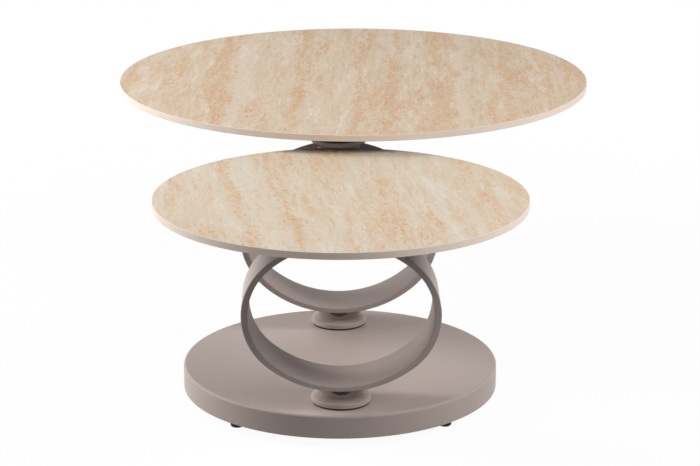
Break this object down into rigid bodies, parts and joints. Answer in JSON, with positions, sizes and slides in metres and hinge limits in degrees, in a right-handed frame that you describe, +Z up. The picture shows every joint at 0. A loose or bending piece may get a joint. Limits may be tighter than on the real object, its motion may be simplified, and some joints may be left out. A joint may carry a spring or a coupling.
{
  "type": "swivel coffee table",
  "caption": "Low round table: two thin stone-look tops, each turning on the head of an oval flat-bar hoop, over a round drum base.",
  "frame": {"origin": "under the middle of the box that the table fills with its upper top swung out behind the base, on the floor", "axes": "+Z up, +Y from the front hoop towards the rear hoop and the swung-out upper top, +X to the right seen from the front"},
  "size_m": [0.7999, 1.3126, 0.3997],
  "materials": {
    "travertine_face": "matt stone-look face with fine pits and tan veins",
    "edge_band": "satin band, plain cream",
    "board_core": "raw fibreboard",
    "backing_sheet": "matt brown balancing sheet",
    "taupe_paint": "fine-textured powder coat, taupe",
    "black_cast": "satin black paint",
    "steel": "bright turned steel",
    "zinc_steel": "zinc-plated steel",
    "dark_steel": "raw black steel plate",
    "bronze": "sintered bronze",
    "slide_plastic": "slippery white plastic",
    "black_rubber": "matt black rubber"
  },
  "bodies": {
    "root": {"ballast_plate": "dark_steel", "base_floor_panel": "dark_steel", "base_shell": "taupe_paint", "collar_bolts": "zinc_steel", "foot_front_left": "black_rubber", "foot_front_right": "black_rubber", "foot_rear_left": "black_rubber", "foot_rear_right": "black_rubber", "foot_studs": "zinc_steel", "front_base_collar": "taupe_paint", "front_base_gasket": "black_rubber", "front_head_collar": "taupe_paint", "front_hoop": "taupe_paint", "front_hub_bush": "bronze", "front_swivel_hub": "black_cast", "front_thrust_ring": "slide_plastic", "hub_screws": "zinc_steel", "panel_spacers": "zinc_steel", "rear_base_collar": "taupe_paint", "rear_base_gasket": "black_rubber", "rear_head_collar": "taupe_paint", "rear_hoop": "taupe_paint", "rear_hub_bush": "bronze", "rear_swivel_hub": "black_cast", "rear_thrust_ring": "slide_plastic"},
    "lower_top": {"lower_top_backing": "backing_sheet", "lower_top_board": "board_core", "lower_top_edge_band": "edge_band", "lower_top_face": "travertine_face", "lower_top_mounting_plate": "black_cast", "lower_top_plate_screws": "zinc_steel", "lower_top_spindle": "steel", "lower_top_spindle_clip": "dark_steel"},
    "upper_top": {"upper_top_backing": "backing_sheet", "upper_top_board": "board_core", "upper_top_edge_band": "edge_band", "upper_top_face": "travertine_face", "upper_top_mounting_plate": "black_cast", "upper_top_plate_screws": "zinc_steel", "upper_top_spindle": "steel", "upper_top_spindle_clip": "dark_steel"}
  },
  "joints": [
    {"name": "lower_top_swivel", "type": "hinge", "parent": "root", "child": "lower_top", "pos_m": [-0.02741, -0.37932, 0.3504], "axis": [0, 0, 1], "continuous": true},
    {"name": "upper_top_swivel", "type": "hinge", "parent": "root", "child": "upper_top", "pos_m": [-0.02741, -0.01832, 0.3814], "axis": [0, 0, 1], "continuous": true}
  ]
}
